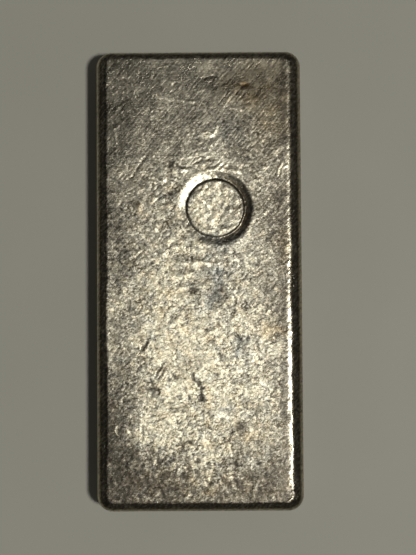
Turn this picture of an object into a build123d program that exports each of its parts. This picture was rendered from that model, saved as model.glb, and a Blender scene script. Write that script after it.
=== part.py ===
from build123d import *

# A fine silver ingot, poured into an open iron mould and left as cast.
# Sizes are in millimetres. The ingot lies on its narrow mould side: Z is up, Y runs along its
# length, and the origin is the middle of the flat underside.

import os
from math import atan2, cos, radians, sin, tan

# Body. Length and width are taken at the brim, the widest level of the bar.
ingot_length = 117.0
ingot_width = 52.2
ingot_height = 16.25
draft_angle = 5.0  # of the mould's walls, so that the bar drops out
corner_radius = 3.9  # of the four upright corners, at the brim
base_edge_radius = 1.6  # where the mould's floor meets its walls

# Brim. The free surface of the metal turned down to the mould in a quarter of an ellipse, which
# is as high all round but reaches in farther on some sides than on others.
brim_drop = 2.8
brim_run_left = 2.6
brim_run_right = 3.2
brim_run_far = 2.0
brim_run_near = 2.4
brim_steps = 6  # of the quarter turn, from the widest outline to the top one

# Crown. The free surface is level in the middle and falls a little towards the brim.
crown_run = 7.0
crown_drop = 0.3

# Ring struck into the free face by a round punch: an upright wall, a narrow floor and a wide
# sloping bank. The metal inside it stands at the level of the face, as cast.
ring_from_right = 21.9  # its centre, from the bar's right side and from its far end
ring_from_far = 40.4
ring_core_radius = 7.25
ring_wall_width = 0.15
ring_floor_width = 0.35
ring_bank_width = 1.65
ring_depth = 0.5
ring_rim_radius = 0.12  # of the core's upper edge
ring_lip_reach = 0.35  # how far the rounding of the bank's upper edge reaches to both sides

# Worked out from the sizes above.
draft = radians(draft_angle)
shoulder_level = ingot_height - crown_drop
brim_level = shoulder_level - brim_drop
wall_height = brim_level - brim_drop * sin(draft)
wall_run = wall_height * tan(draft)
ring_centre = (ingot_width / 2 - ring_from_right, ingot_length / 2 - ring_from_far)
ring_foot_radius = ring_core_radius + ring_wall_width
ring_bank_radius = ring_foot_radius + ring_floor_width
ring_lip_radius = ring_bank_radius + ring_bank_width
ring_slope = atan2(ring_depth, ring_bank_width)


def brim_outline(angle):
    """Width, length, corner radius, place and level of the outline where the brim has turned
    inwards from upright by an angle in radians."""
    share = 1 - cos(angle)
    left = brim_run_left * share
    right = brim_run_right * share
    far = brim_run_far * share
    near = brim_run_near * share
    width = ingot_width - left - right
    length = ingot_length - far - near
    radius = corner_radius - (left + right + far + near) / 4
    place = ((left - right) / 2, (near - far) / 2)
    return width, length, radius, place, brim_level + brim_drop * sin(angle)


with BuildPart() as ingot:
    # Drafted body, from the mould's floor up to the foot of the brim.
    width, length, radius, place, level = brim_outline(-draft)
    with BuildSketch():
        with Locations(place):
            RectangleRounded(width - 2 * wall_run, length - 2 * wall_run, radius - wall_run)
    extrude(amount=wall_height, taper=-draft_angle)

    # Brim, through the outline at its foot and outlines at even steps of the turn.
    quarter_turn = [radians(90) * step / brim_steps for step in range(brim_steps + 1)]
    for turn in [-draft, *quarter_turn]:
        width, length, radius, place, level = brim_outline(turn)
        with BuildSketch(Plane.XY.offset(level)):
            with Locations(place):
                RectangleRounded(width, length, radius)
    loft()

    # Crown of the free surface, above the brim.
    with BuildSketch(Plane.XY.offset(shoulder_level)):
        with Locations(place):
            RectangleRounded(width, length, radius)
    with BuildSketch(Plane.XY.offset(ingot_height)):
        with Locations(place):
            RectangleRounded(width - 2 * crown_run, length - 2 * crown_run, radius)
    loft(ruled=True)

    # Rounded edge of the underside.
    fillet(ingot.faces().sort_by(Axis.Z)[0].edges(), radius=base_edge_radius)

    # Struck ring.
    with BuildSketch(Plane((*ring_centre, ingot_height), x_dir=(1, 0, 0), z_dir=(0, -1, 0))):
        with BuildLine():
            uphill = Vector(cos(ring_slope), sin(ring_slope))
            lip_start = Vector(ring_lip_radius, 0) - uphill * ring_lip_reach
            lip_end = Vector(ring_lip_radius + ring_lip_reach, 0)
            Polyline(
                lip_end + Vector(0, ring_depth),
                (ring_core_radius, ring_depth),
                (ring_core_radius, 0),
                (ring_foot_radius, -ring_depth),
                (ring_bank_radius, -ring_depth),
                lip_start,
            )
            TangentArc(lip_start, lip_end, tangent=uphill)
            Line(lip_end, lip_end + Vector(0, ring_depth))
        make_face()
    revolve(axis=Axis((*ring_centre, 0), (0, 0, 1)), mode=Mode.SUBTRACT)
    core_edge = ingot.edges().filter_by(GeomType.CIRCLE).filter_by(
        lambda edge: abs(edge.radius - ring_core_radius) < ring_rim_radius / 9
    )
    fillet(core_edge, radius=ring_rim_radius)

ingot.part.label = "ingot"

os.makedirs("parts", exist_ok=True)
export_step(ingot.part, "parts/ingot.step")
print("volume in cm3:", round(ingot.part.volume / 1000, 2), "valid:", ingot.part.is_valid)
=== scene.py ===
from math import cos, pi, radians, sin, tan

import bpy
import numpy as np
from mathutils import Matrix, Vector


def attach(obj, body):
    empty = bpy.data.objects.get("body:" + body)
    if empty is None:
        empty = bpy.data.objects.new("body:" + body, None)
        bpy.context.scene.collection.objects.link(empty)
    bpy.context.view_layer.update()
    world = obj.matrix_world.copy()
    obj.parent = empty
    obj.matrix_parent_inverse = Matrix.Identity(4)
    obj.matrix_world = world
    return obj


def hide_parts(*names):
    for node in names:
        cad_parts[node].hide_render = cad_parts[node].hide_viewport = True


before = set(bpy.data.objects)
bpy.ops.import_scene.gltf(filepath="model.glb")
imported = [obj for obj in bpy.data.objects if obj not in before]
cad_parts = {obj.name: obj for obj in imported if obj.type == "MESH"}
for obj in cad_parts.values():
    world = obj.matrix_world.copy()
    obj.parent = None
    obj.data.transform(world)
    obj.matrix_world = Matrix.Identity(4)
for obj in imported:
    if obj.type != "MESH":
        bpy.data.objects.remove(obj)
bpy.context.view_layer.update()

MM = 0.001

# A cast silver bar, in millimetres. It lies on its narrow mould side: X across, Y along, Z up,
# origin under its middle. Length and width are those of the widest outline, low on the brim.
SOLID_LENGTH, SOLID_WIDTH = 117.0, 52.2
INSIDE = 0.02                    # how far the skin drawn here stays inside the solid
LENGTH, WIDTH = SOLID_LENGTH - 2 * INSIDE, SOLID_WIDTH - 2 * INSIDE
DRAFT = radians(5.0)             # lean of the mould's walls
CORNER = 3.9                     # plan radius of the upright corners
BASE_EDGE = 1.6                  # roll from wall to underside
BASE_EDGE_SHARE = 0.92           # of that radius, as the roll starts from a leaning wall
BRIM_LEVEL = 13.15               # level of the widest outline
BRIM_DROP = 2.8                  # height of the rolled brim
BRIM_RUN = {"left": 2.6, "right": 3.2, "far": 2.0, "near": 2.4}
BRIM_POWER = 1.25                # above 1, the brim is a little flatter than a quarter ellipse
BRIM_FOOT = BRIM_LEVEL - BRIM_DROP * sin(DRAFT)
FACE_LEVEL = 15.98               # mean level of the middle of the free face
FACE_TOP = 16.24                 # no grain stands higher than this

# The free face falls towards the brim: for the left, right, far and near side, how far from it
# the fall begins and ends, and how deep it is.
CROWN = ((11, 2, 0.20), (4, 2, 0.03), (12, 1.5, 0.10), (12, 2, 0.16))

# The ring that a round punch left in the free face: its centre, 21.9 mm from the right side and
# 40.4 mm from the far end, the radii of its core, the end of its floor and its lip, and its depth.
RING = (SOLID_WIDTH / 2 - 21.9, SOLID_LENGTH / 2 - 40.4)
RING_CORE, RING_FLOOR, RING_LIP = 7.25, 7.62, 9.45
RING_DEPTH = 0.48

# The folds of the skin lie along the direction in which the metal crept.
CREEP_TURN = radians(25)
CREEP_STRETCH = 1.6              # folds are that much longer than wide
FOLD_SIZE, FINE_FOLD_SIZE = 2.8, 1.4

# Cells of the mesh across and along the free face, and the turns at which the brim, from the face
# down to its foot, and the roll of the base edge have their rings of points. The wall has its
# rings at even steps between them.
COLUMNS, ROWS = 168, 388
BRIM_TURNS = np.radians([81, 72, 63, 54, 44, 34, 25, 16, 8, 0, -5])
ROLL_TURNS = np.radians([18, 36, 54, 72, 90])
WALL_RINGS, WALL_TOP = 14, BRIM_FOOT - 0.45
UNDERSIDE_INSET = 1.0            # of the underside's grid, from the end of the roll

# Finishes that every point of the skin has a share of, and their shares off the free face. The
# brim takes on its own over the first radians of its turn, and the upper brim's give way to the
# outer brim's between the two turns from upright. The upper brim's dark tarnish share is painted
# shade, and the outer brim's lighter one a painted reflection of the floor.
# The tarnish finish also carries painted shade and painted highlights.
FINISHES = ("grain", "tarnish_and_painted_light", "warm", "cool", "mould")
OUTER_BRIM_PAINTED_REFLECTION = np.array([0.05, 0.35, 0.12, 0.0, 0.0])
UPPER_BRIM_PAINTED_SHADE = np.array([0.05, 0.95, 0.12, 0.0, 0.0])
MOULD_SKIN = np.array([0.25, 0.34, 0.10, 0.3, 1.0])
BRIM_BLEND = 0.35
OUTER_TURN, UPPER_TURN = 0.45, 0.8


def lattice(seed, i, j):
    """A repeatable direction for every lattice corner: an integer hash of (i, j, seed), read as
    an angle, gives the unit vector (cos, sin)."""
    h = (i.astype(np.int64) * 374761393 + j.astype(np.int64) * 668265263 + seed * 974634777)
    h = (h ^ (h >> 13)) * 1274126177
    h = (h ^ (h >> 16)) & 0xFFFFF
    angle = h * (2 * pi / 0x100000)
    return np.cos(angle), np.sin(angle)


def ripple(x, y, size, seed):
    """Gradient noise between about -1 and 1: in each cell of side `size`, the four corners'
    gradients times the offset from them, blended with the quintic 6t^5 - 15t^4 + 10t^3. The seed
    moves the cells too, so that no two ripples share their corners."""
    u, v = x / size + 17.3 * seed, y / size - 9.1 * seed
    i, j = np.floor(u), np.floor(v)
    fu, fv = u - i, v - j
    su = fu ** 3 * (fu * (fu * 6 - 15) + 10)
    sv = fv ** 3 * (fv * (fv * 6 - 15) + 10)

    def corner(di, dj):
        """The slope of one corner of the cell, times the offset from it."""
        gx, gy = lattice(seed, i + di, j + dj)
        return gx * (fu - di) + gy * (fv - dj)

    low = corner(0, 0) * (1 - su) + corner(1, 0) * su
    high = corner(0, 1) * (1 - su) + corner(1, 1) * su
    return (low * (1 - sv) + high * sv) * 1.5


def layers(x, y, size, seed, count=3, fade=0.55):
    """Sum of `count` ripples, each about half the size and `fade` times the height."""
    total = 0
    for k in range(count):
        total = total + fade ** k * ripple(x, y, size / 1.93 ** k, seed + 31 * k)
    return total


def pillows(fold):
    """Makes a ripple into smooth mounds parted by sharp valleys: twice its absolute value, less
    0.4."""
    return 2 * np.abs(fold) - 0.4


def smooth(low, high, value):
    """0 below low, 1 above high, and 3t^2 - 2t^3 between them."""
    t = np.clip((value - low) / (high - low), 0, 1)
    return t * t * (3 - 2 * t)


def band(value, place, reach):
    """A Gaussian band of height 1 where the value passes a place: reach is its half-width."""
    return np.exp(-((value - place) / reach) ** 2)


def swell(x, y, place, reach, turn=0.0):
    """A Gaussian mound of height 1: reach is its half-widths along and across `turn` degrees."""
    dx, dy = x - place[0], y - place[1]
    c, s = cos(radians(turn)), sin(radians(turn))
    along, across = dx * c + dy * s, dy * c - dx * s
    return np.exp(-(along / reach[0]) ** 2 - (across / reach[1]) ** 2)


def swells(x, y, mounds):
    """Sum of the swells of a list of (place, reach, turn, height)."""
    return sum(height * swell(x, y, place, reach, turn) for place, reach, turn, height in mounds)


def track(x, y, points):
    """Distance to a polyline, and the share of the way along it, for every (x, y)."""
    points = np.array(points, float)
    steps = np.diff(points, axis=0)
    lengths = np.hypot(steps[:, 0], steps[:, 1])
    best = np.full(x.shape, 1e9)
    share = np.zeros(x.shape)
    for k, (start, step, size) in enumerate(zip(points, steps, lengths)):
        t = np.clip(((x - start[0]) * step[0] + (y - start[1]) * step[1]) / size ** 2, 0, 1)
        gap = np.hypot(x - start[0] - t * step[0], y - start[1] - t * step[1])
        here = (lengths[:k].sum() + t * size) / lengths.sum()
        share = np.where(gap < best, here, share)
        best = np.minimum(best, gap)
    return best, share


# Marks on the free face, in millimetres. Dents and lumps are (place, reach, turn, height).
LUMPS = [
    ((-9.0, -4.9), (3.2, 2.2), 20, 0.08), ((0.3, -12.3), (1.1, 0.8), 25, 0.144),
    ((1.2, -12.9), (0.9, 0.5), 25, -0.192), ((-1.6, -2.7), (1.2, 0.6), -15, -0.256),
    ((-0.4, -2.0), (1.2, 0.5), -15, 0.096), ((3.7, -2.9), (2.4, 1.7), 40, -0.096),
    ((7.4, -4.4), (1.5, 1.9), 60, 0.128), ((-15.2, 18.5), (0.7, 1.3), -20, 0.16),
    ((-6.8, -31.6), (1.1, 0.8), 10, 0.112), ((-6.9, -32.9), (1.3, 0.45), 5, -0.176),
    ((-11.5, -28.4), (1.4, 0.9), 10, -0.192), ((-9.9, -27.3), (0.9, 0.5), 10, 0.096),
    ((-9.6, -30.5), (2.2, 3.4), 35, 0.08), ((10.0, -37.2), (1.5, 1.2), 0, -0.128),
    ((6.3, -33.2), (1.0, 0.6), 0, -0.096), ((20.2, 34.6), (2.2, 1.6), 30, 0.08),
    ((-19.7, 27.2), (2.6, 1.2), -10, 0.08), ((12.0, 49.4), (1.6, 0.6), -8, -0.08),
    ((9.6, 47.7), (0.4, 1.0), -20, -0.064), ((0.5, -30.2), (0.8, 0.9), 0, -0.16),
    ((8.7, -46.8), (0.4, 1.3), -12, -0.096), ((8.7, -51.0), (0.5, 1.5), 8, -0.096),
    ((-14.4, -11.5), (1.3, 1.7), 10, 0.08), ((-6.5, 27.8), (2.0, 1.4), 30, 0.096),
    ((2.5, 26.9), (2.6, 0.8), 0, 0.08), ((12.5, -17.0), (2.4, 2.0), 0, 0.08),
    ((19.5, -16.0), (1.4, 1.8), 0, 0.08), ((-3.0, -36.5), (4.0, 1.6), 25, 0.08),
    ((15.5, -35.0), (2.0, 3.0), 0, 0.08), ((-5.0, 13.0), (3.0, 2.0), 40, 0.08),
]
# Furrows, cracks, scratches and folds are (points, half-width, depth).
FURROWS = [
    ([(-17.5, 25.1), (-15.2, 28.9), (-12.3, 33.0)], 0.3, 0.045),
    ([(-12.3, 48.4), (-10.5, 47.1), (-8.0, 46.0), (-4.7, 45.8), (-1.6, 45.2), (1.7, 45.0)],
     0.3, -0.04),
    ([(-0.6, 36.3), (0.4, 37.0), (1.7, 37.3), (3.2, 37.0), (4.2, 37.8), (3.9, 36.8),
      (2.2, 36.3), (0.9, 36.5)], 0.3, -0.07),
    ([(4.2, 37.8), (5.0, 39.6), (6.0, 41.6)], 0.3, -0.035),
    ([(-5.5, 29.4), (-4.0, 28.4), (-2.2, 28.4), (-0.2, 29.9), (1.6, 30.4), (3.6, 30.9)],
     0.3, 0.07),
    ([(3.6, 27.6), (6.2, 29.8)], 0.3, -0.07), ([(4.9, 27.3), (7.2, 29.3)], 0.3, -0.06),
    ([(6.2, 28.3), (8.5, 27.8), (10.5, 26.7)], 0.3, -0.06),
    ([(-4.0, 27.4), (-1.7, 28.9), (0.3, 29.4)], 0.3, -0.06),
    ([(19.9, 26.4), (20.9, 28.5), (21.9, 30.2)], 0.3, -0.07),
    ([(20.9, 26.2), (22.2, 29.0)], 0.3, -0.06),
    ([(1.2, 50.9), (3.0, 51.6), (4.8, 52.1)], 0.3, 0.05),
    ([(-7.7, 51.2), (-6.7, 49.9), (-7.2, 48.4)], 0.3, -0.05),
    ([(6.3, 43.9), (7.6, 45.7), (8.3, 46.5)], 0.3, -0.035),
    ([(7.3, 43.9), (11.9, 43.1)], 0.3, -0.025),
    ([(-21.2, 38.7), (-21.0, 34.4)], 0.3, -0.035),
    ([(-6.6, 4.0), (-3.6, 4.5), (-0.6, 3.9), (2.7, 4.2), (5.3, 3.6)], 0.7, -0.07),
    ([(-8.7, 7.5), (-4.8, 8.3), (-1.1, 7.5), (2.0, 7.0)], 0.6, -0.05),
    ([(-11.0, 1.2), (-6.0, 0.6), (-2.0, 1.4)], 0.6, -0.05),
    ([(-2.1, 9.3), (-2.1, 3.2)], 0.3, 0.05), ([(-23.3, 5.6), (-19.3, 5.3)], 0.3, 0.04),
    ([(-13.3, -15.5), (-13.6, -16.7), (-14.8, -18.0), (-15.3, -18.7)], 0.3, 0.13),
    ([(-8.8, -21.0), (-10.1, -22.8), (-11.3, -24.8)], 0.3, 0.09),
    ([(-7.8, -21.3), (-9.3, -23.3), (-10.6, -25.3)], 0.3, 0.08),
    ([(14.0, -14.4), (15.0, -17.9), (16.2, -19.4), (16.7, -17.2)], 0.3, 0.045),
    ([(9.0, -4.0), (8.7, -8.3)], 0.3, 0.05),
    ([(-13.4, -28.3), (-12.1, -27.6), (-10.6, -27.3), (-10.1, -28.3), (-11.3, -29.3)], 0.3, 0.09),
    ([(-2.5, -23.3), (-1.5, -24.9), (-0.7, -25.9), (0.3, -27.4), (0.5, -29.7), (1.0, -30.7)],
     0.32, 0.16),
    ([(0.3, -27.4), (1.5, -26.9)], 0.3, 0.10),
    ([(8.0, -37.5), (7.6, -39.4), (7.2, -41.2)], 0.3, 0.07),
    ([(-21.4, -36.6), (-21.0, -39.3)], 0.3, -0.08), ([(-18.2, -37.6), (-18.2, -38.7)], 0.3, -0.06),
    ([(-15.1, -35.3), (-15.2, -43.4)], 0.3, -0.03), ([(-13.9, -35.8), (-14.2, -42.9)], 0.3, -0.03),
    ([(-2.1, -41.7), (-3.1, -40.7), (-4.6, -41.7), (-5.1, -43.4), (-5.6, -46.2)], 0.3, 0.07),
    ([(9.3, -26.2), (13.9, -25.2), (18.4, -24.0)], 0.3, 0.03),
]
# How a furrow is drawn. The burr has a share of its depth and lies some half-widths away, and the
# line fades over a share of its length to what is left at its tips. Painted shade with some
# tarnish goes with the depth, up to the darkest, and a ridge is rubbed bright, which counts as
# less than none.
BURR_HEIGHT, BURR_PLACE = 0.2, 1.9
END_REACH, END_DEPTH = 0.12, 0.3
SHADE_PER_MM, DARKEST, RUBBED = 9, 1.1, -0.5

# Zones of the free face, as (place, reach, turn, share): where the skin is grainier, more
# crumpled, darker or brighter, darkest in the near left corner, stained warm, and bloomed cool.
GRAINY = [((-1, 20), (11, 9), 0, 0.24), ((-9, -9), (8, 9), 0, 0.14)]
CRUMPLED = [
    ((-1, 30), (8, 2.5), 5, 1.2), ((-6, 5), (7, 8), 0, 0.7), ((-15, -49), (8, 5), 0, 0.9),
    ((2, -52), (22, 9), 0, 0.9), ((-9, 22), (3, 5), 20, 0.8),
]
TARNISHED = [
    ((14, -20), (6, 13), 0, -0.26), ((-8, -9), (9, 6), 0, -0.14), ((12, -5), (7, 4), 0, 0.14),
    ((2, -14), (6, 5), 30, 0.10), ((-20, 28), (3.5, 2.5), 0, -0.3), ((-1, -43), (9, 4), 0, -0.10),
    ((-5, -24), (11, 17), 0, -0.16), ((14, -39), (4, 4), 0, -0.12),
    ((-15.8, -16.5), (2.4, 3), 0, -0.25), ((9, 54), (9, 3), 0, -0.14), ((-10, 21), (5, 9), 0, 0.14),
    ((-5, 38), (14, 6), 0, 0.08), ((14, 30), (6, 14), 0, 0.10), ((12, -53), (9, 4), 0, 0.15),
    ((0, 20), (12, 9), 0, -0.06), ((10, -37.5), (3, 2.5), 0, 0.16),
]
DARK_CORNER = [((-16.5, -50.0), (7, 5.5), 20, 0.40), ((-11, -52), (7, 2), 0, 0.3)]
STAINED = [
    ((11.8, 49.6), (1.3, 0.6), -10, 1.0), ((17.7, 45.6), (7, 11), 10, 0.55), ((10, 49), (6, 4), 0, 0.3),
    ((17.8, -12.4), (3.5, 3), 0, 0.5), ((11.3, -40.5), (7, 3), 10, 0.35), ((21.5, 9), (1.6, 5), 0, 0.5),
    ((-15.2, 18.5), (1.0, 1.4), 0, 0.7), ((-8, -10), (7, 7), 0, 0.12), ((0, -52), (20, 4), 0, 0.25),
]
BLOOMED = [
    ((5.2, 1.9), (4.5, 3.5), 20, 0.55), ((10.9, -17.9), (4, 2.5), 0, 0.6),
    ((2.7, -5.2), (5, 2.5), 30, 0.5), ((6.3, -33.2), (2, 0.8), 0, 0.7), ((6, 9), (5, 3), 0, 0.5),
    ((8, 38), (5, 4), 0, 0.35), ((-11, -12), (5, 3), 0, 0.3), ((12, -45), (6, 4), 0, 0.2),
]


def groove(x, y, points, width, depth):
    """A furrow along a polyline, thrown up beside it: a Gaussian hollow of the half-width, less a
    burr, both fading out over the line's ends. A negative depth makes a ridge. Returns its
    height, and how much painted shade, with some tarnish, lies in it."""
    gap, share = track(x, y, points)
    ends = smooth(0, END_REACH, share) * smooth(1, 1 - END_REACH, share) * (1 - END_DEPTH)
    ends = ends + END_DEPTH
    hollow = band(gap, 0, width)
    burr = band(gap, BURR_PLACE * width, width)
    shade = min(DARKEST, max(SHADE_PER_MM * depth, RUBBED)) * ends * band(gap, 0, 0.9 * width)
    return -depth * ends * (hollow - BURR_HEIGHT * burr), shade


def near_sides(x, y):
    """Distances from the four sides: left, right, far and near."""
    return WIDTH / 2 + x, WIDTH / 2 - x, LENGTH / 2 - y, LENGTH / 2 + y


def grain_share(x, y):
    """How coarse and matt the cast skin is, 0 for satin to 1 for grainy: satin at the far end
    and down the left side, grainy from the ring to the near end, and a little finer again there
    and down the right. The zones' bounds wander by some millimetres."""
    wander = 4 * layers(x, y, 15, 5, 2)
    off_far_end = smooth(62, -10, y + wander)
    off_left_side = smooth(-27, -11, x + 0.7 * wander)
    off_near_end = smooth(-59, -33, y + 0.6 * wander)
    right_side = smooth(-5, 25, x) * smooth(40, 12, y)
    share = off_far_end * (0.45 + 0.55 * off_left_side) * (0.85 + 0.15 * off_near_end)
    share = share * (1 - 0.3 * right_side) + swells(x, y, GRAINY) + 0.14 * layers(x, y, 6, 6, 3)
    return np.clip(share, 0, 1)


def skin_flow(x, y, drift):
    """Plan positions for the folds of the skin: pushed about by a slow drift, given in mm, so that
    no fold runs straight, then turned to the direction of the creep and squeezed across it, so
    that the folds are longer than wide."""
    px = x + drift * layers(x, y, 5, 21, 2)
    py = y + drift * layers(x, y, 5, 22, 2)
    c, s = cos(CREEP_TURN), sin(CREEP_TURN)
    return px * c + py * s, CREEP_STRETCH * (py * c - px * s)


def skin_folds(x, y):
    """The ripples whose middle values part the folds of the skin, and the finer ones on them."""
    folds = ripple(*skin_flow(x, y, 1.1), FOLD_SIZE, 41)
    fine_folds = ripple(*skin_flow(x, y, 0.55), FINE_FOLD_SIZE, 42)
    return folds, fine_folds


def rough_patches(x, y):
    """The folds come in patches: 0.4 where the skin is smooth, 1.4 where it is crumpled, and
    more where the metal round the ring and in the near left corner froze last."""
    return 0.4 + smooth(-0.4, 0.4, layers(x, y, 8, 25, 3)) + swells(x, y, CRUMPLED)


def face_relief(x, y, share):
    """Height of the free face over its mean level, in mm, at plan positions x and y."""
    # The middle of the bar set last: a crown that falls towards the brim, and broad swells.
    height = 0.04 * layers(x, y, 24, 11, 2)
    for side, (start, end, fall) in zip(near_sides(x, y), CROWN):
        height -= fall * smooth(start, end, side)

    # Lumps of the skin, and its folds: hardly any where it is satin, about 0.05 mm where it is
    # grainy.
    folds, fine_folds = skin_folds(x, y)
    rough = share * rough_patches(x, y)
    height += (0.008 + 0.052 * share) * layers(*skin_flow(x, y, 1.1), 5.0, 31, 2)
    height += (0.002 + 0.044 * rough) * pillows(folds)
    height += (0.002 + 0.020 * rough) * pillows(fine_folds)

    # Low waves across the bar, 3.1 mm apart, below the ring.
    bend = y + 0.12 * x + 1.2 * layers(x, y, 9, 51, 2)
    return height + 0.05 * np.sin(bend * 2 * pi / 3.1) * swell(x, y, (-3, 4), (10, 9))


def marks(x, y):
    """Dents, lumps, furrows and folds, one by one, all wandering by a third of a millimetre:
    their height, and the painted shade with some tarnish in them."""
    wx = x + 0.35 * layers(x, y, 2.6, 91, 3, 0.7)
    wy = y + 0.35 * layers(x, y, 2.6, 92, 3, 0.7)
    height = swells(wx, wy, LUMPS)
    # Painted shade, with some tarnish, in the pits.
    shade = np.clip(-3 * height, 0, 0.6)
    for points, width, depth in FURROWS:
        line, dark = groove(wx, wy, points, width, depth)
        height, shade = height + line, shade + dark
    return height, shade


def ring_strength(x, y):
    """The punch stood a little askew: full depth at the far right, a little more than half of it at
    the near left, as a cosine of the angle round the ring."""
    across, along = x - RING[0], y - RING[1]
    lean = (0.45 * across + 0.89 * along) / np.maximum(np.hypot(across, along), 1)
    return 0.78 + 0.22 * lean


def struck_ring(x, y, height):
    """The ring pressed into the face: inside the core radius the face is as cast, then an
    upright wall, a narrow floor and a bank that climbs along a straight slope to the lip. What
    is pressed is smoother than the face, and the lip stands up a little."""
    away = np.hypot(x - RING[0], y - RING[1]) + 0.13 * layers(x, y, 5, 61, 3)
    climb = np.clip((RING_LIP - away) / (RING_LIP - RING_FLOOR), 0, 1)
    wall = smooth(RING_CORE - 0.12, RING_CORE + 0.15, away)
    pressed = smooth(RING_LIP + 0.3, RING_LIP - 0.3, away) * wall
    raised = 0.05 * band(away, RING_LIP + 0.5, 0.5)
    chatter = 0.030 * layers(x, y, 1.5, 62, 2) * pressed
    core = 0.05 * pillows(ripple(x, y, 2.6, 63)) * smooth(RING_CORE, RING_CORE - 1.2, away)
    sunk = -RING_DEPTH * climb * ring_strength(x, y) * wall
    return height * (1 - 0.55 * pressed) + sunk + raised + chatter + core


def ring_zones(x, y):
    """Distance from the ring's centre, and the shares of the ring's bank, of its right hand and
    of its upper half."""
    across, along = x - RING[0], y - RING[1]
    away = np.hypot(across, along)
    bank = smooth(RING_LIP + 0.3, RING_LIP - 0.4, away) * smooth(RING_CORE, RING_FLOOR, away)
    return away, bank, smooth(-0.2, 0.8, across / 9), smooth(-3, 3, along)


def bare_grain(x, y, share):
    """The grain that is left where the punch and handling rubbed it off: on the ring's bank, and
    where the right edge of the face begins to turn down."""
    away = np.hypot(x - RING[0], y - RING[1])
    struck = smooth(RING_LIP + 0.05, RING_LIP - 0.35, away)
    struck = struck * smooth(RING_CORE + 0.05, RING_CORE + 0.35, away)
    inside = near_sides(x, y)[1] - BRIM_RUN["right"]
    return share * (1 - 0.7 * struck) * smooth(0.2, 1.2, inside)


def tarnish_and_painted_light_of_face(x, y, share, shade):
    """Share of dark tarnish over the free face, with painted shade and painted highlights, 0 to 1:
    less tarnish where the skin is grainy, in patches of about 9 mm."""
    left, right, far, near = near_sides(x, y)
    tarnish_and_painted_light = 0.58 - 0.36 * share + 0.14 * layers(x, y, 9, 101, 3) + shade

    # It is deepest at the far end, down the left side and at the near end, where it gathers in
    # the left corner, and thinnest in a wide tongue from the ring to two thirds of the way down.
    far_end = 0.10 * smooth(24, 40, y) - 0.12 * smooth(46, 56, y)
    right_side = 0.30 * smooth(4, 20, x) * smooth(30, 18, y)
    upper_right = 0.16 * smooth(2, 26, x) * smooth(6, 30, y)
    left_side = 0.22 * smooth(-10, -24, x) * smooth(40, 26, y)
    rubbed_left = 1 - swell(x, y, (-23, -12), (9, 9))
    near_left = 0.34 * smooth(-12, -24, x) * smooth(-18, -34, y)
    near_end = 0.16 * smooth(-38, -49, y)
    tarnish_and_painted_light += far_end + right_side + upper_right + left_side * rubbed_left + near_left + near_end
    tarnish_and_painted_light += swells(x, y, TARNISHED) + swells(x, y, DARK_CORNER)
    # Painted shade along the left, far and near edges of the face, where it falls towards the brim.
    tarnish_and_painted_light += 0.25 * smooth(6, 1, near) + 0.15 * smooth(4, 0.5, left) + 0.1 * smooth(4, 0.5, far)

    # Painted shade, with some tarnish, in the valleys between the folds of the skin.
    folds, fine_folds = skin_folds(x, y)
    deep = (0.05 + 0.40 * share) * rough_patches(x, y)
    tarnish_and_painted_light += deep * (band(folds, 0, 0.08) + 0.7 * band(fine_folds, 0, 0.10))

    # Black specks where the slag stuck, in the near left corner and along the near end.
    specks = smooth(0.05, 0.4, layers(x, y, 1.8, 151, 3))
    tarnish_and_painted_light += specks * (0.8 * swell(x, y, (-14, -50), (10, 6), 15) + 0.35 * smooth(-40, -50, y))

    # On the ring: painted shade in the crevice at the core's foot and over the right and lower bank,
    # a painted highlight on the upper left of the bank, and a painted highlight line along the right
    # of the floor.
    away, bank, right_hand, upper = ring_zones(x, y)
    tarnish_and_painted_light += bank * (0.25 * right_hand - 0.06 * (1 - right_hand) * upper + 0.15 * (1 - upper))
    tarnish_and_painted_light += 0.9 * band(away, RING_CORE + 0.15, 0.32) * ring_strength(x, y)
    tarnish_and_painted_light -= 0.35 * band(away, RING_CORE + 0.85, 0.28) * right_hand

    # Along the right edge of the face, where the brim begins to turn down, a painted highlight, and a
    # strip of painted shade beside it.
    inside = right - BRIM_RUN["right"]
    return np.clip(tarnish_and_painted_light + 0.16 * smooth(3.4, 1.6, inside) - 0.25 * smooth(0.8, 0.3, inside), 0, 1)


def stains_of_face(x, y, share):
    """Shares of warm stain and of cool bloom over the free face, 0 to 1. Where the skin is
    grainy, spots of about 2.4 mm lean to the one or the other."""
    away, _, right_hand, _ = ring_zones(x, y)
    spots = layers(x, y, 2.4, 112, 2)
    warm = swells(x, y, STAINED) * (0.75 + 0.5 * layers(x, y, 4, 111, 2))
    warm += 0.35 * share * np.maximum(spots, 0)
    # A warm tint on the painted highlight line along the right of the ring's floor.
    warm += 0.5 * band(away, RING_CORE + 0.75, 0.5) * right_hand
    cool = swells(x, y, BLOOMED) * (0.8 + 0.4 * layers(x, y, 3, 121, 2))
    cool += 0.4 * share * np.maximum(-spots, 0)
    return np.clip(warm, 0, 1), np.clip(cool, 0, 1)


def outline(u, v, insets, radius):
    """Maps the square -1..1 by -1..1 onto a rectangle with round corners.

    The point (u, v) is taken to (u a, v b). What lies beyond the inner rectangle, which is
    smaller by the corner radius, has its offset d scaled by max|d| / |d|, so that the squares
    round a corner turn into quarter circles."""
    left, right, far, near = insets
    a, b = WIDTH / 2 - (left + right) / 2, LENGTH / 2 - (far + near) / 2
    qx, qy = u * a, v * b
    cx, cy = np.clip(qx, radius - a, a - radius), np.clip(qy, radius - b, b - radius)
    dx, dy = qx - cx, qy - cy
    size = np.maximum(np.hypot(dx, dy), 1e-9)
    scale = np.maximum(np.abs(dx), np.abs(dy)) / size
    return cx + dx * scale + (left - right) / 2, cy + dy * scale + (near - far) / 2


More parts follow.
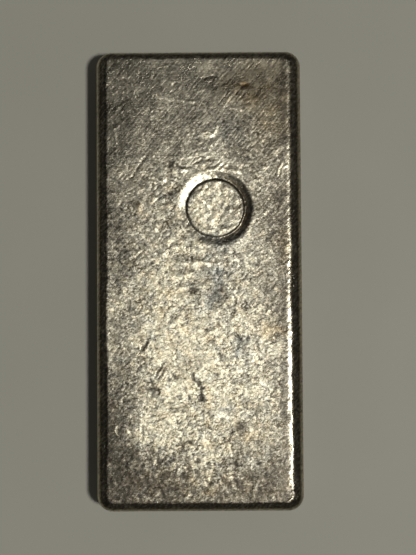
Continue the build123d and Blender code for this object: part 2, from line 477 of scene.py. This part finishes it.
def brim_insets(u, v):
    """How far the rolled brim reaches in from each side, in mm: the side's own run, and a slow
    and a quick wander along it, strongest on the left, where the skin tore a little."""
    y, x = v * LENGTH / 2, u * WIDTH / 2

    def wander(along, seed, slow, quick):
        """Sum of a wander over 13 mm and one over 3 mm."""
        line = np.full(along.shape, 0.5)
        return slow * layers(along, line, 13, seed, 2) + quick * layers(along, line, 3, seed + 5, 2)

    return (BRIM_RUN["left"] + 0.2 + wander(y, 71, 0.25, 0.20),
            BRIM_RUN["right"] + wander(y, 72, 0.22, 0.14) - 0.25 * smooth(0, -1, v),
            BRIM_RUN["far"] + wander(x, 73, 0.15, 0.10),
            BRIM_RUN["near"] + wander(x, 74, 0.15, 0.10))


def brim_turn(angle):
    """Share of the run and of the drop that is left where the brim has turned by `angle` from
    upright: cosine and sine to a power, a curve a little flatter than an ellipse, which leaves
    the face at a crisp edge. Below the widest outline it is a plain circle."""
    if angle < 0:
        return cos(angle), sin(angle)
    return max(cos(angle), 0) ** BRIM_POWER, sin(angle) ** BRIM_POWER


def brim_outline(u, v, angle):
    """The bar's outline where the brim has turned by `angle` from upright, 90 degrees at its
    top: each inset is the side's run times 1 - the share of brim_turn."""
    share = 1 - brim_turn(angle)[0]
    insets = [inset * share for inset in brim_insets(u, v)]
    return outline(u, v, insets, CORNER - sum(insets) / 4)


class Skin:
    """A mesh put together from grids and rings of points, in mm, each point with its finish."""

    def __init__(self):
        """Starts without points."""
        self.points, self.finishes, self.quads, self.triangles = [], [], [], []
        self.count = 0

    def add(self, x, y, z, finish):
        """Adds points with one finish for all or one for each, and returns their numbers."""
        finish = np.broadcast_to(finish, (*x.shape, len(FINISHES)))
        self.points.append(np.stack([x, y, z], -1).reshape(-1, 3))
        self.finishes.append(finish.reshape(-1, len(FINISHES)))
        numbers = self.count + np.arange(x.size).reshape(x.shape)
        self.count += x.size
        return numbers

    def fill(self, grid, downwards=False):
        """Quads over a grid of points, facing up or downwards."""
        a, b, c, d = grid[:-1, :-1], grid[1:, :-1], grid[1:, 1:], grid[:-1, 1:]
        corners = (a, d, c, b) if downwards else (a, b, c, d)
        self.quads.append(np.stack(corners, -1).reshape(-1, 4))

    def join(self, upper, lower):
        """Quads between two rings of as many points."""
        self.quads.append(np.stack([upper, lower, np.roll(lower, -1), np.roll(upper, -1)], -1))

    def thin(self, upper, lower):
        """Joins a ring of 2n points to one of n: three triangles for each lower edge."""
        a, b, c = upper[0::2], upper[1::2], np.roll(upper, -2)[0::2]
        d, e = lower, np.roll(lower, -1)
        self.triangles.append(np.concatenate([np.stack([a, d, b], -1), np.stack([d, e, b], -1),
                                              np.stack([b, e, c], -1)]))


def square(columns, rows):
    """The square -1..1 by -1..1 as a grid of so many cells."""
    return np.meshgrid(np.linspace(-1, 1, columns + 1), np.linspace(-1, 1, rows + 1),
                       indexing="ij")


def border(columns, rows):
    """Grid indices of the border of a grid, once round against the clock from (0, 0)."""
    i = np.concatenate([np.arange(columns), np.full(rows, columns),
                        np.arange(columns, 0, -1), np.zeros(rows, int)])
    j = np.concatenate([np.zeros(columns, int), np.arange(rows),
                        np.full(columns, rows), np.arange(rows, 0, -1)])
    return i, j


def free_face(skin, u, v):
    """The free face inside the brim's top outline, raised by its relief, its marks and the ring.
    Returns the numbers, levels and finishes of its points."""
    x, y = brim_outline(u, v, pi / 2)
    share = grain_share(x, y)
    height, shade = marks(x, y)
    level = FACE_LEVEL + struck_ring(x, y, face_relief(x, y, share) + height)
    level = np.minimum(level, FACE_TOP)
    tarnish_and_painted_light = tarnish_and_painted_light_of_face(x, y, share, shade)
    warm, cool = stains_of_face(x, y, share)
    finish = np.stack([bare_grain(x, y, share), tarnish_and_painted_light, warm, cool, np.zeros(x.shape)], -1)
    grid = skin.add(x, y, level, finish)
    skin.fill(grid)
    return grid, level, finish


def rolled_brim(skin, u, v, ring, top, edge):
    """A quarter turn from the face's edge, at its own level and finish, out and down to the foot
    of the brim: smoother than the face, with painted shade over its upper half and painted
    lighter along its outside, where it mirrors the floor. Returns its lowest ring of points."""
    for angle in BRIM_TURNS:
        x, y = brim_outline(u, v, angle)
        level = top - (1 - brim_turn(angle)[1]) * (top - BRIM_LEVEL)
        rough = 0.03 * cos(angle) * sin(max(angle, 0)) * layers(x + level, y, 3.0, 81, 2)
        upper = smooth(OUTER_TURN, UPPER_TURN, angle)
        # Painted shade over the upper brim, painted lighter where the outer brim mirrors the floor.
        brim = OUTER_BRIM_PAINTED_REFLECTION + (UPPER_BRIM_PAINTED_SHADE - OUTER_BRIM_PAINTED_REFLECTION) * upper
        blend = min(1.0, (pi / 2 - angle) / BRIM_BLEND)
        lower = skin.add(x, y, level + rough, edge * (1 - blend) + brim * blend)
        skin.join(ring, lower)
        ring = lower
    return ring


def drafted_wall(skin, u, v, ring):
    """The wall that the mould gave, on half as many points: the outline leans in by the draft,
    with shallow dents over 6 mm. Returns its lowest ring of points, and the lean there."""
    for number, level in enumerate(np.linspace(WALL_TOP, BASE_EDGE, WALL_RINGS)):
        lean = (BRIM_FOOT - level) * tan(DRAFT)
        x, y = outline(u, v, np.full(4, lean), CORNER - lean)
        dent = 0.05 * (layers(x + y, np.full(x.shape, level), 6.0, 131, 2) - 0.8)
        pushed = 1 + dent / np.hypot(x, y)
        lower = skin.add(x * pushed, y * pushed, np.full(x.shape, level), MOULD_SKIN)
        if number == 0:
            skin.thin(ring, lower)
        else:
            skin.join(ring, lower)
        ring = lower
    return ring, lean


def base_edge(skin, u, v, ring, wall_lean):
    """A circular roll from the wall to the underside. It starts from a leaning wall, so it
    reaches in by less than its radius. Returns its lowest ring of points, and the lean there."""
    for angle in ROLL_TURNS:
        lean = wall_lean + BASE_EDGE_SHARE * BASE_EDGE * (1 - cos(angle))
        x, y = outline(u, v, np.full(4, lean), CORNER - lean)
        lower = skin.add(x, y, np.full(x.shape, BASE_EDGE * (1 - sin(angle))), MOULD_SKIN)
        skin.join(ring, lower)
        ring = lower
    return ring, lean


def underside(skin, ring, lean):
    """The flat underside: a grid with a quarter of the face's cells each way, a little inside
    the roll."""
    columns, rows = COLUMNS // 4, ROWS // 4
    u, v = square(columns, rows)
    lean = lean + UNDERSIDE_INSET
    x, y = outline(u, v, np.full(4, lean), CORNER - lean)
    grid = skin.add(x, y, np.zeros(x.shape), MOULD_SKIN)
    skin.thin(ring, grid[border(columns, rows)])
    skin.fill(grid, downwards=True)


def build_ingot():
    """One closed skin from the free face down to the underside, ring by ring."""
    skin = Skin()
    u, v = square(COLUMNS, ROWS)
    rim = border(COLUMNS, ROWS)
    grid, level, finish = free_face(skin, u, v)
    ring = rolled_brim(skin, u[rim], v[rim], grid[rim], level[rim], finish[rim])
    half_u, half_v = u[rim][::2], v[rim][::2]
    ring, lean = drafted_wall(skin, half_u, half_v, ring)
    ring, lean = base_edge(skin, half_u, half_v, ring, lean)
    underside(skin, ring, lean)
    return skin


def mesh_object(name, points, quads, triangles):
    """Puts whole arrays of points (mm), quads and triangles into a mesh object, in metres."""
    mesh = bpy.data.meshes.new(name)
    mesh.vertices.add(len(points))
    mesh.vertices.foreach_set("co", (points * MM).astype(np.float32).ravel())
    corners = np.concatenate([quads.ravel(), triangles.ravel()])
    starts = np.concatenate([np.arange(len(quads)) * 4,
                             len(quads) * 4 + np.arange(len(triangles)) * 3])
    mesh.loops.add(len(corners))
    mesh.loops.foreach_set("vertex_index", corners.astype(np.int32))
    mesh.polygons.add(len(starts))
    mesh.polygons.foreach_set("loop_start", starts.astype(np.int32))
    mesh.polygons.foreach_set("use_smooth", np.ones(len(starts), bool))
    mesh.update(calc_edges=True)
    mesh.validate()
    thing = bpy.data.objects.new(name, mesh)
    bpy.context.collection.objects.link(thing)
    return thing


def colour(code):
    """sRGB hex to linear RGBA."""
    values = [int(code[k:k + 2], 16) / 255 for k in (1, 3, 5)]
    linear = [v / 12.92 if v <= 0.04045 else ((v + 0.055) / 1.055) ** 2.4 for v in values]
    return (*linear, 1.0)


def add_node(tree, kind, settings=None, inputs=()):
    """Adds one node. Settings are its properties. Inputs, by name or in their order, are values,
    sockets to link, or nodes whose first output is linked."""
    node = tree.nodes.new(kind)
    for key, value in (settings or {}).items():
        setattr(node, key, value)
    for key, value in inputs.items() if isinstance(inputs, dict) else enumerate(inputs):
        if isinstance(value, bpy.types.Node):
            value = value.outputs[0]
        if isinstance(value, bpy.types.NodeSocket):
            tree.links.new(value, node.inputs[key])
        else:
            node.inputs[key].default_value = value
    return node


def facet_relief(tree, place):
    """Each crystal of the skin froze at its own tilt: in every cell, the offset from its middle
    times the cell's own random lean. Returns the height in mm, of crystals of two sizes, the
    smaller of which is as fine as the picture can show."""
    height = 0.0
    for size, tilt in ((0.55, 0.11), (1.3, 0.025)):
        cells = add_node(tree, "ShaderNodeTexVoronoi", {}, {"Vector": place, "Scale": 1 / size})
        offset = add_node(tree, "ShaderNodeVectorMath", {"operation": "SUBTRACT"},
                          (place, cells.outputs["Position"]))
        lean = add_node(tree, "ShaderNodeVectorMath", {"operation": "SUBTRACT"},
                        (cells.outputs["Color"], (0.5, 0.5, 0.5)))
        rise = add_node(tree, "ShaderNodeVectorMath", {"operation": "DOT_PRODUCT"}, (offset, lean))
        height = add_node(tree, "ShaderNodeMath", {"operation": "MULTIPLY_ADD"},
                          (rise.outputs["Value"], tilt, height))
    return height


def cast_silver():
    """Fine silver, poured into an open mould and left as cast: the skin is a pale, slightly
    yellow metal, satin where it lay still and grainy where it froze in a hurry, with a thin
    warm tarnish and painted shade in the hollows. Patterns are in millimetres."""
    material = bpy.data.materials.new("Fine silver, as cast and tarnished")
    material.use_nodes = True
    tree = material.node_tree
    tree.nodes.clear()
    metres = add_node(tree, "ShaderNodeTexCoord").outputs["Object"]
    place = add_node(tree, "ShaderNodeMapping", {}, {"Vector": metres, "Scale": (1 / MM,) * 3})
    grain, tarnish_and_painted_light, warm, cool, mould = [
        add_node(tree, "ShaderNodeAttribute", {"attribute_name": name}).outputs["Fac"]
        for name in FINISHES]

    # A fine crumple, drawn out along the creep; long diagonal rub marks; laps of the mould's
    # skin; and blotches of tarnish.
    crept = add_node(tree, "ShaderNodeMapping", {"vector_type": "TEXTURE"},
                     {"Vector": place, "Rotation": (0, 0, CREEP_TURN),
                      "Scale": (CREEP_STRETCH, 1.0, 1.0)})
    rubbed = add_node(tree, "ShaderNodeMapping", {"vector_type": "TEXTURE"},
                      {"Vector": place, "Rotation": (0, 0, radians(50)),
                       "Scale": (6.0, 0.6, 1.0)})
    along_wall = add_node(tree, "ShaderNodeMapping", {}, {"Vector": place, "Scale": (0.12, 0.12, 1.0)})
    crumple, scratches, laps, blotches, creases = [
        add_node(tree, "ShaderNodeTexNoise", {},
                 {"Vector": where, "Scale": 1 / size, "Detail": detail, "Roughness": fade})
        for where, size, detail, fade in ((crept, 0.5, 3.0, 0.65), (rubbed, 0.8, 3.0, 0.6),
                                          (along_wall, 1.1, 3.0, 0.55), (place, 3.2, 3.0, 0.6),
                                          (crept, 0.9, 1.0, 0.55))]

    # Relief too fine for the mesh: each pattern, the finish that it goes with, and its height in
    # mm where there is none of that finish and where there is all of it.
    relief = 0.0
    for pattern, finish, least, most in ((facet_relief(tree, place), grain, 0.32, 1.42),
                                         (crumple, grain, 0.016, 0.046),
                                         (scratches, grain, 0.036, 0.006),
                                         (laps, mould, 0.0, 0.05)):
        height = add_node(tree, "ShaderNodeMapRange", {"clamp": False},
                          {"Value": finish, "To Min": least, "To Max": most})
        relief = add_node(tree, "ShaderNodeMath", {"operation": "MULTIPLY_ADD"},
                          (pattern, height, relief))
    bump = add_node(tree, "ShaderNodeBump", {},
                    {"Strength": 1.0, "Distance": MM, "Height": relief})

    # Specks of painted shade, with some tarnish, in the crumple's hollows and, where the skin is
    # satin, in the scratches. There are fewer on the mould's skin.
    in_crumple, in_scratches, satin, bare = [
        add_node(tree, "ShaderNodeMapRange", {"clamp": False},
                 {"Value": pattern, "To Min": least, "To Max": most})
        for pattern, least, most in ((crumple, 0.65, -0.65), (scratches, 0.6, -0.6),
                                     (grain, 1.0, 0.0), (mould, 1.0, 0.4))]
    specks = add_node(tree, "ShaderNodeMath", {"operation": "MULTIPLY_ADD"},
                      (in_scratches, satin, in_crumple))
    specks = add_node(tree, "ShaderNodeMath", {"operation": "MULTIPLY"}, (specks, bare))

    # Hair cracks: dark lines where a fine noise passes through its middle value.
    crack_shade, crack_slope = 0.6, 14
    off_middle = add_node(tree, "ShaderNodeMath", {"operation": "SUBTRACT"}, (creases, 0.5))
    off_middle = add_node(tree, "ShaderNodeMath", {"operation": "ABSOLUTE"}, (off_middle,))
    cracks = add_node(tree, "ShaderNodeMapRange", {},
                      {"Value": off_middle, "From Max": crack_shade / crack_slope,
                       "To Min": crack_shade, "To Max": 0.0})

    # How dark the colour is: the skin's own share of tarnish and painted light, specks of painted
    # shade, blotches, cracks and laps.
    mottle, lap_lines = [
        add_node(tree, "ShaderNodeMapRange", {"clamp": False},
                 {"Value": pattern, "To Min": -reach, "To Max": reach})
        for pattern, reach in ((blotches, 0.25), (laps, 0.3))]
    depth = add_node(tree, "ShaderNodeMath", {"operation": "ADD"}, (tarnish_and_painted_light, specks))
    depth = add_node(tree, "ShaderNodeMath", {"operation": "ADD"}, (depth, mottle))
    for lines, finish in ((cracks, grain), (lap_lines, mould)):
        depth = add_node(tree, "ShaderNodeMath", {"operation": "MULTIPLY_ADD"},
                         (lines, finish, depth))

    # Bare silver, half tarnished and dark, then warm stains and a cool bloom over them. Sockets
    # 6 and 7 and output 2 of the mix are its colours.
    tint = add_node(tree, "ShaderNodeValToRGB", {}, {"Fac": depth})
    tint.color_ramp.elements.new(0.5)
    for stop, code in zip(tint.color_ramp.elements, ("#D4CBAF", "#938D7B", "#4C473D")):
        stop.color = colour(code)
    for code, amount in (("#DAC39C", warm), ("#C9D6EC", cool)):
        mix = add_node(tree, "ShaderNodeMix", {"data_type": "RGBA", "blend_type": "MULTIPLY"},
                       {"Factor": amount, 6: tint, 7: colour(code)})
        tint = mix.outputs[2]

    # Satin silver is half glossy and grainy silver matt. The specks of painted shade hardly change
    # either.
    matt = add_node(tree, "ShaderNodeMapRange", {"clamp": False},
                    {"Value": grain, "To Min": 0.27, "To Max": 0.50})
    roughness = add_node(tree, "ShaderNodeMath", {"operation": "MULTIPLY_ADD"},
                         (specks, -0.03, matt))
    metal = add_node(tree, "ShaderNodeBsdfPrincipled", {},
                     {"Metallic": 1.0, "Base Color": tint, "Roughness": roughness, "Normal": bump})
    add_node(tree, "ShaderNodeOutputMaterial", {}, {"Surface": metal})
    return material


def pale_floor():
    """Smooth matt sheet under the bar: an even pale warm grey, with a mottle of about 40 mm that
    is hardly seen."""
    material = bpy.data.materials.new("Matt pale sheet")
    material.use_nodes = True
    tree = material.node_tree
    tree.nodes.clear()
    metres = add_node(tree, "ShaderNodeTexCoord").outputs["Object"]
    mottle = add_node(tree, "ShaderNodeTexNoise", {},
                      {"Vector": metres, "Scale": 1 / (40 * MM), "Detail": 2.0})
    tint = add_node(tree, "ShaderNodeValToRGB", {}, {"Fac": mottle})
    for stop, code in zip(tint.color_ramp.elements, ("#929082", "#999689")):
        stop.color = colour(code)
    surface = add_node(tree, "ShaderNodeBsdfPrincipled", {},
                       {"Roughness": 0.7, "Base Color": tint})
    add_node(tree, "ShaderNodeOutputMaterial", {}, {"Surface": surface})
    return material


skin = build_ingot()
ingot = mesh_object("ingot_as_cast", *map(np.concatenate, (skin.points, skin.quads, skin.triangles)))
for name, shares in zip(FINISHES, np.concatenate(skin.finishes).T):
    layer = ingot.data.attributes.new(name, "FLOAT", "POINT")
    layer.data.foreach_set("value", np.ascontiguousarray(shares, dtype=np.float32))
ingot.data.materials.append(cast_silver())
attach(ingot, "root")
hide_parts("ingot")

# A floor for the pictures, a hair under the bar.
FLOOR_REACH, FLOOR_LEVEL = 900, -0.02
floor_u, floor_v = square(1, 1)
corners = np.stack([floor_u * FLOOR_REACH, floor_v * FLOOR_REACH,
                    np.full(floor_u.shape, FLOOR_LEVEL)], -1)
floor = mesh_object("floor", corners.reshape(-1, 3), np.array([[0, 2, 3, 1]]),
                    np.zeros((0, 3), int))
floor.data.materials.append(pale_floor())


def area_lamp(name, shape, size, watts, place):
    """Lamp of a shape and size, in metres, whose -Z axis points at the origin."""
    lamp = bpy.data.lights.new(name, "AREA")
    lamp.shape = shape
    lamp.size, lamp.size_y = size
    lamp.energy = watts
    thing = bpy.data.objects.new(name, lamp)
    thing.location = place
    thing.rotation_euler = (-Vector(place)).to_track_quat("-Z", "Y").to_euler()
    bpy.context.collection.objects.link(thing)
    return thing


# One round lamp, high and to the right, in a dim room with four wide, faint panels round it,
# low enough that only the bar's sides and a low view of its face mirror them.
area_lamp("key_lamp", "DISK", (0.08, 0.08), 6.8, (0.24, -0.11, 0.98))
PANEL_AWAY, PANEL_LEVEL = 1.6, 0.75
for turn in np.radians([0, 90, 180, 270]):
    panel = area_lamp("panel", "RECTANGLE", (2.4, 0.9), 1.1,
                      (PANEL_AWAY * sin(turn), -PANEL_AWAY * cos(turn), PANEL_LEVEL))
    panel.visible_camera = False

world = bpy.data.worlds.new("room")
world.use_nodes = True
world.node_tree.nodes.clear()
sky = add_node(world.node_tree, "ShaderNodeBackground", {},
               {"Color": colour("#E6E4DE"), "Strength": 0.05})
add_node(world.node_tree, "ShaderNodeOutputWorld", {}, {"Surface": sky})
bpy.context.scene.world = world

# The camera looks down from 0.4 m, a little towards the far end.
eye = bpy.data.cameras.new("camera")
eye.sensor_fit = "VERTICAL"
eye.angle = radians(19.9)
camera = bpy.data.objects.new("camera", eye)
camera.location = (0.0036, -0.0206, 0.4156)
camera.rotation_euler = (radians(3.02), radians(0.22), radians(-0.35))
bpy.context.collection.objects.link(camera)
bpy.context.scene.camera = camera
bpy.context.scene.view_settings.view_transform = "Standard"
